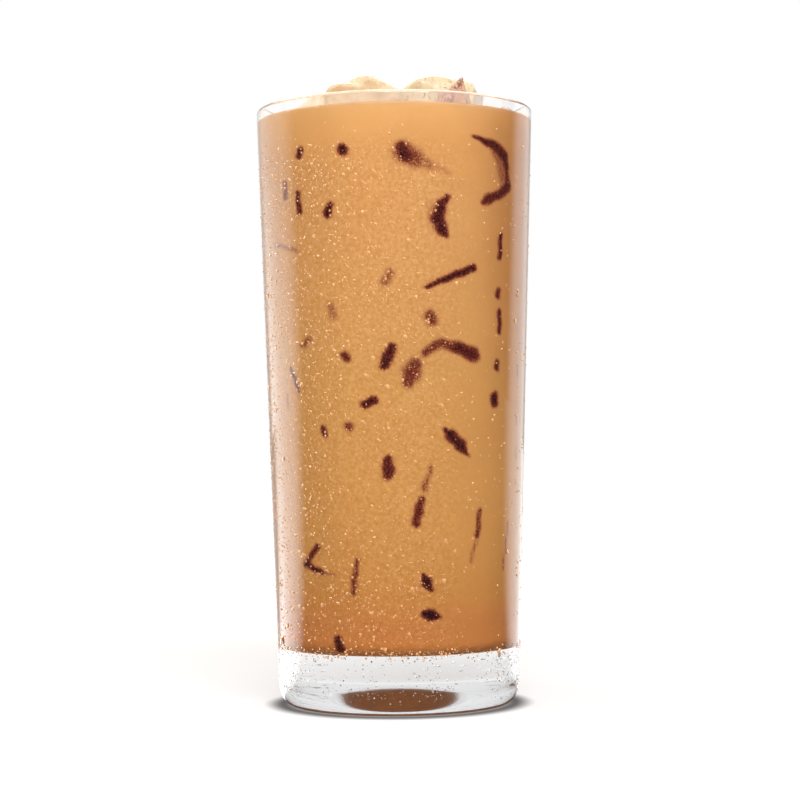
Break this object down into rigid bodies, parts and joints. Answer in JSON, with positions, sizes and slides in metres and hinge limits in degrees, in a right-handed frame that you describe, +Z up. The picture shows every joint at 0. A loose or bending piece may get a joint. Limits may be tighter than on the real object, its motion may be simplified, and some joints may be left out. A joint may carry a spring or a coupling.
{
  "type": "iced coffee in a glass",
  "caption": "Tall tapered tumbler with a thick clear base and a domed underside, filled almost to the rim with iced milk coffee, half-melted ice standing out of the drink.",
  "frame": {"origin": "centre of the resting plane, under the middle of the glass", "axes": "+Z up along the glass, -Y towards the front, +X to the right seen from the front"},
  "size_m": [0.077, 0.077, 0.1744],
  "materials": {
    "glass": "clear, smooth, fire-polished",
    "coffee": "opaque milky liquid, wet and smooth",
    "ice": "wet, half clear, tinted by the drink"
  },
  "bodies": {
    "root": {"tumbler": "glass", "drink": "coffee", "ice_left": "ice", "ice_right": "ice", "ice_back": "ice", "ice_shard": "ice", "ice_chip": "ice"}
  },
  "joints": []
}
